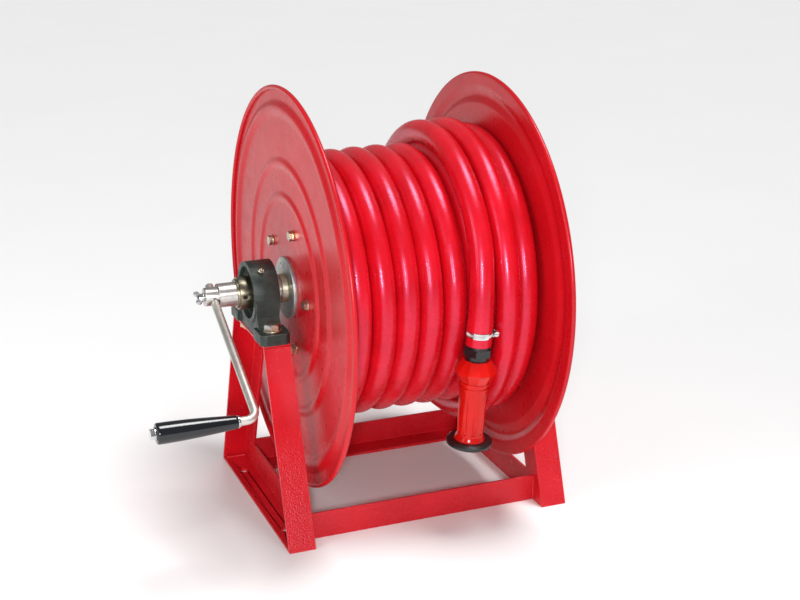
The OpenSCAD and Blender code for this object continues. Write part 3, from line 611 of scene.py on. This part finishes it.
def add_welds():
    """Beads where the legs meet the rails, on all four corners of the frame."""
    web_x = abs(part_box("front_cross_rail")[0].x)
    cross_y = abs(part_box("front_cross_rail")[0].y)
    low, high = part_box("left_front_leg")
    foot_depth = 42.5 * MM                     # depth of a leg at the floor, along its slope
    top = high.z
    lean = (high.y - low.y - foot_depth) / top
    half_base = abs(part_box("left_base_rail")[0].y)
    outer_x, inner_x = 216 * MM, 186 * MM      # ends of the beads across a leg
    angle_t = 4 * MM                           # thickness of the angle iron
    low_z, high_z = 2 * MM, 38 * MM            # ends of the beads up a cross rail
    flat_y = 108 * MM                          # inner end of the bead along its flat leg
    lines = []
    for sx in (-1, 1):
        for sy in (-1, 1):
            # cross rail to the inside of the end frame, along its upright and its flat leg
            lines.append(((sx * web_x, sy * cross_y, low_z), (sx * web_x, sy * cross_y, high_z),
                          1.7))
            lines.append(((sx * web_x, sy * (cross_y - angle_t), angle_t),
                          (sx * web_x, sy * flat_y, angle_t), 1.8))
            # leg to the floor flange and to the flange under the bearing
            foot_y = sy * (half_base - 6 * MM)
            foot_z = 4.2 * MM
            lines.append(((sx * outer_x, foot_y, foot_z), (sx * inner_x, foot_y, foot_z), 1.8))
            head_y = sy * (half_base - 4.6 * MM - lean * top)
            head_z = top - 0.6 * MM
            lines.append(((sx * outer_x, head_y, head_z), (sx * inner_x, head_y, head_z), 1.6))
    verts, faces = [], []
    for i, (a, b, radius) in enumerate(lines):
        v, f = weld_bead(a, b, radius * MM, i * 1.7)
        faces += [tuple(k + len(verts) for k in face) for face in f]
        verts += v
    new_piece("frame_welds", mesh_of("frame_welds", verts, faces), "frame", POWDER)


add_welds()


# ---------- worm-drive clamps ----------

BAND_ROWS = (0.0, 0.4, 2.2, 2.5, 6.5, 6.8, 8.6, 9.0)    # heights across the band, in millimetres
BAND_T, SLOT_DEPTH, BAND_EASE = 1.0 * MM, 0.7 * MM, 0.25 * MM
BAND_SIDES = 216                               # four to each of the band's slots


def clamp_piece(name, place, radius, node):
    """A slotted band and the pressed housing over its screw, which lies along y at local +X."""
    verts = []
    outer = radius + BAND_T
    for k in range(BAND_SIDES):
        a = TAU * k / BAND_SIDES
        for j, h in enumerate(BAND_ROWS):
            slot = k % 4 in (1, 2) and j in (3, 4)
            edge = j in (0, len(BAND_ROWS) - 1)
            r = outer - (SLOT_DEPTH if slot else BAND_EASE if edge else 0)
            verts.append((r * math.cos(a), r * math.sin(a), h * MM))
        verts.append((radius * math.cos(a), radius * math.sin(a), BAND_ROWS[-1] * MM))
        verts.append((radius * math.cos(a), radius * math.sin(a), 0))
    faces = ring_faces(BAND_SIDES, len(BAND_ROWS) + 2)
    # the housing is an arch over the screw, open at both ends
    screw_x = radius + 4 * MM
    arch_r, bore_r, half_l = 4.1 * MM, 3.35 * MM, 6 * MM
    foot_x, floor_x, foot_half = radius + 0.6 * MM, radius + 1.2 * MM, 6.2 * MM
    over = arc(screw_x, 0, arch_r, -90, 90, 12)
    under = arc(screw_x, 0, bore_r, 90, -90, 12)
    ring = ([(foot_x, -foot_half)] + over + [(foot_x, foot_half), (floor_x, bore_r)] + under
            + [(floor_x, -bore_r)])
    faces += [tuple(len(verts) + k for k in face) for face in tube_faces(2, len(ring))]
    mid_z = BAND_ROWS[-1] * MM / 2
    for y in (-half_l, half_l):
        verts += [(x, y, mid_z + z) for x, z in ring]
    mesh = mesh_of(name, [place @ Vector(v) for v in verts], faces)
    return new_piece(name, mesh, "drum", BRIGHT_STEEL, [node], 30)


TAIL_CLAMP_Z = 12.5 * MM                       # above the hose's end
START_CLAMP_Z = 36 * MM                        # out from the middle of the elbow
TAIL_CLAMP_R = HOSE_R + 0.2 * MM
NOZZLE_TURN = (Matrix.Rotation(math.radians(2.6), 4, "Y")
               @ Matrix.Rotation(math.radians(4.4), 4, "X"))
OUTLET_TURN = Matrix.Rotation(math.radians(90) + START_TILT, 4, "X")

hose_end = Vector(TAIL_ROUTE[-1]) + Vector((0, 0, AXLE_Z))
tail_place = Matrix.Translation(hose_end) @ NOZZLE_TURN @ Matrix.Translation((0, 0, TAIL_CLAMP_Z))
tail_clamp = clamp_piece("tail_clamp_band", tail_place, TAIL_CLAMP_R, "tail_clamp")
start_place = (Matrix.Translation((PORT_X, 0, START_Z)) @ OUTLET_TURN
               @ Matrix.Translation((0, 0, START_CLAMP_Z))
               @ Matrix.Rotation(math.radians(90), 4, "Z"))
start_clamp = clamp_piece("start_clamp_band", start_place, HOSE_R, "start_clamp")


# ---------- CAD pieces that stay ----------

CAD_LOOKS = {
    POWDER: ("left_front_leg", "left_rear_leg", "left_base_rail", "left_bearing_rail",
             "right_front_leg", "right_rear_leg", "right_base_rail", "right_bearing_rail",
             "front_cross_rail", "rear_cross_rail"),
    PAINT: ("drum_core",),
    IRON: ("left_housing", "right_housing"),
    ZINC: ("grease_nipples", "housing_bolts", "housing_washers", "housing_nuts", "hub_screws",
           "hub_nuts", "tie_rods", "disc_bolts", "disc_washers", "riser_pipe", "outlet_elbow"),
    FLANGE: ("left_hub", "right_hub"),
    SHAFT_STEEL: ("main_shaft", "spacers"),
    COLLAR_STEEL: ("inner_rings", "outer_rings"),
    ROD_STEEL: ("crank_rod",),
    BRIGHT_STEEL: ("crank_collar", "grip_bolt", "wing_screw", "clamp_screw", "swivel_circlip"),
    BALL_STEEL: ("left_ball_cage", "right_ball_cage"),
    BRASS: ("nozzle_stem", "swivel_body", "swivel_plug"),
    RUBBER: ("bearing_seals", "swivel_seals", "stem_seal", "nozzle_bumper", "set_screws"),
    GRIP: ("grip",),
    COUPLING: ("hose_coupling",),
    NOZZLE: ("nozzle_collar", "nozzle_barrel"),
}
# width of the rounding along edges, in millimetres
EDGE_MM, POWDER_EDGE_MM = 0.35, 1.0
NODE_EDGE_MM = {"left_housing": 1.6, "right_housing": 1.6, "swivel_body": 0.8, "nozzle_collar": 0.6,
                "nozzle_barrel": 0.5}
EDGE_ANGLE = math.radians(38)                  # edges that turn by more are rounded
SAME_POINT = 0.02 * MM                         # vertices that are nearer to each other are merged
# round or hidden pieces, whose edges stay as they are
PLAIN_NODES = ("left_ball_cage", "right_ball_cage", "stem_seal", "swivel_seals", "tie_rods")


def finish_node(name, material):
    """Gives a CAD node its material and rounds its edges."""
    obj = frame["nodes"][name]
    obj.data.materials.clear()
    obj.data.materials.append(material)
    if name in PLAIN_NODES:
        return
    weld = obj.modifiers.new("weld", "WELD")
    weld.merge_threshold = SAME_POINT
    bevel = obj.modifiers.new("edges", "BEVEL")
    bevel.width = NODE_EDGE_MM.get(name, POWDER_EDGE_MM if material is POWDER else EDGE_MM) * MM
    bevel.segments = 2
    bevel.limit_method = "ANGLE"
    bevel.angle_limit = EDGE_ANGLE
    bevel.harden_normals = True


for look_material, names in CAD_LOOKS.items():
    for node_name in names:
        finish_node(node_name, look_material)


# ---------- the floor and the light ----------

def add_floor():
    size = 30
    corners = [(-size, -size, 0), (size, -size, 0), (size, size, 0), (-size, size, 0)]
    mesh = mesh_of("floor", corners, [(0, 1, 2, 3)])
    floor = bpy.data.objects.new("floor", mesh)
    bpy.context.scene.collection.objects.link(floor)
    return floor


def add_area(name, place, target, size, power):
    """A rectangular light, with its sides in metres and its power in watts, that faces a target."""
    data = bpy.data.lights.new(name, "AREA")
    data.shape = "RECTANGLE"
    data.size, data.size_y = size
    data.energy = power
    light = bpy.data.objects.new(name, data)
    light.location = place
    light.rotation_euler = (Vector(target) - Vector(place)).to_track_quat("-Z", "Y").to_euler()
    bpy.context.scene.collection.objects.link(light)


def add_sun(name, towards, strength, spread):
    """A wide, soft light that comes from a direction; spread is its width in degrees."""
    data = bpy.data.lights.new(name, "SUN")
    data.energy = strength
    data.angle = math.radians(spread)
    light = bpy.data.objects.new(name, data)
    light.rotation_euler = Vector(towards).to_track_quat("Z", "Y").to_euler()
    bpy.context.scene.collection.objects.link(light)


def add_world(light, seen):
    """A white room that gives soft light and, behind the reel, is seen as pale as the floor."""
    world = bpy.data.worlds.new("studio")
    world.use_nodes = True
    nodes, links = world.node_tree.nodes, world.node_tree.links
    background = nodes["Background"]
    background.inputs["Color"].default_value = (1, 1, 1, 1)
    strength = nodes.new("ShaderNodeMapRange")
    strength.inputs["To Min"].default_value = light
    strength.inputs["To Max"].default_value = seen
    links.new(nodes.new("ShaderNodeLightPath").outputs["Is Camera Ray"], strength.inputs["Value"])
    links.new(strength.outputs["Result"], background.inputs["Strength"])
    bpy.context.scene.world = world


bpy.context.scene.view_settings.view_transform = "Standard"
floor = add_floor()
floor.data.materials.append(floor_paint())
add_world(0.26, 0.84)
add_sun("ceiling", (0.25, -0.05, 0.95), 2.5, 26)
add_area("flash", (-0.86, -2.12, 0.98), (0, 0, 0.35), (0.19, 0.19), 29)
add_area("window", (-2.7, -0.9, 1.5), (0, 0, 0.35), (1.0, 1.4), 22)
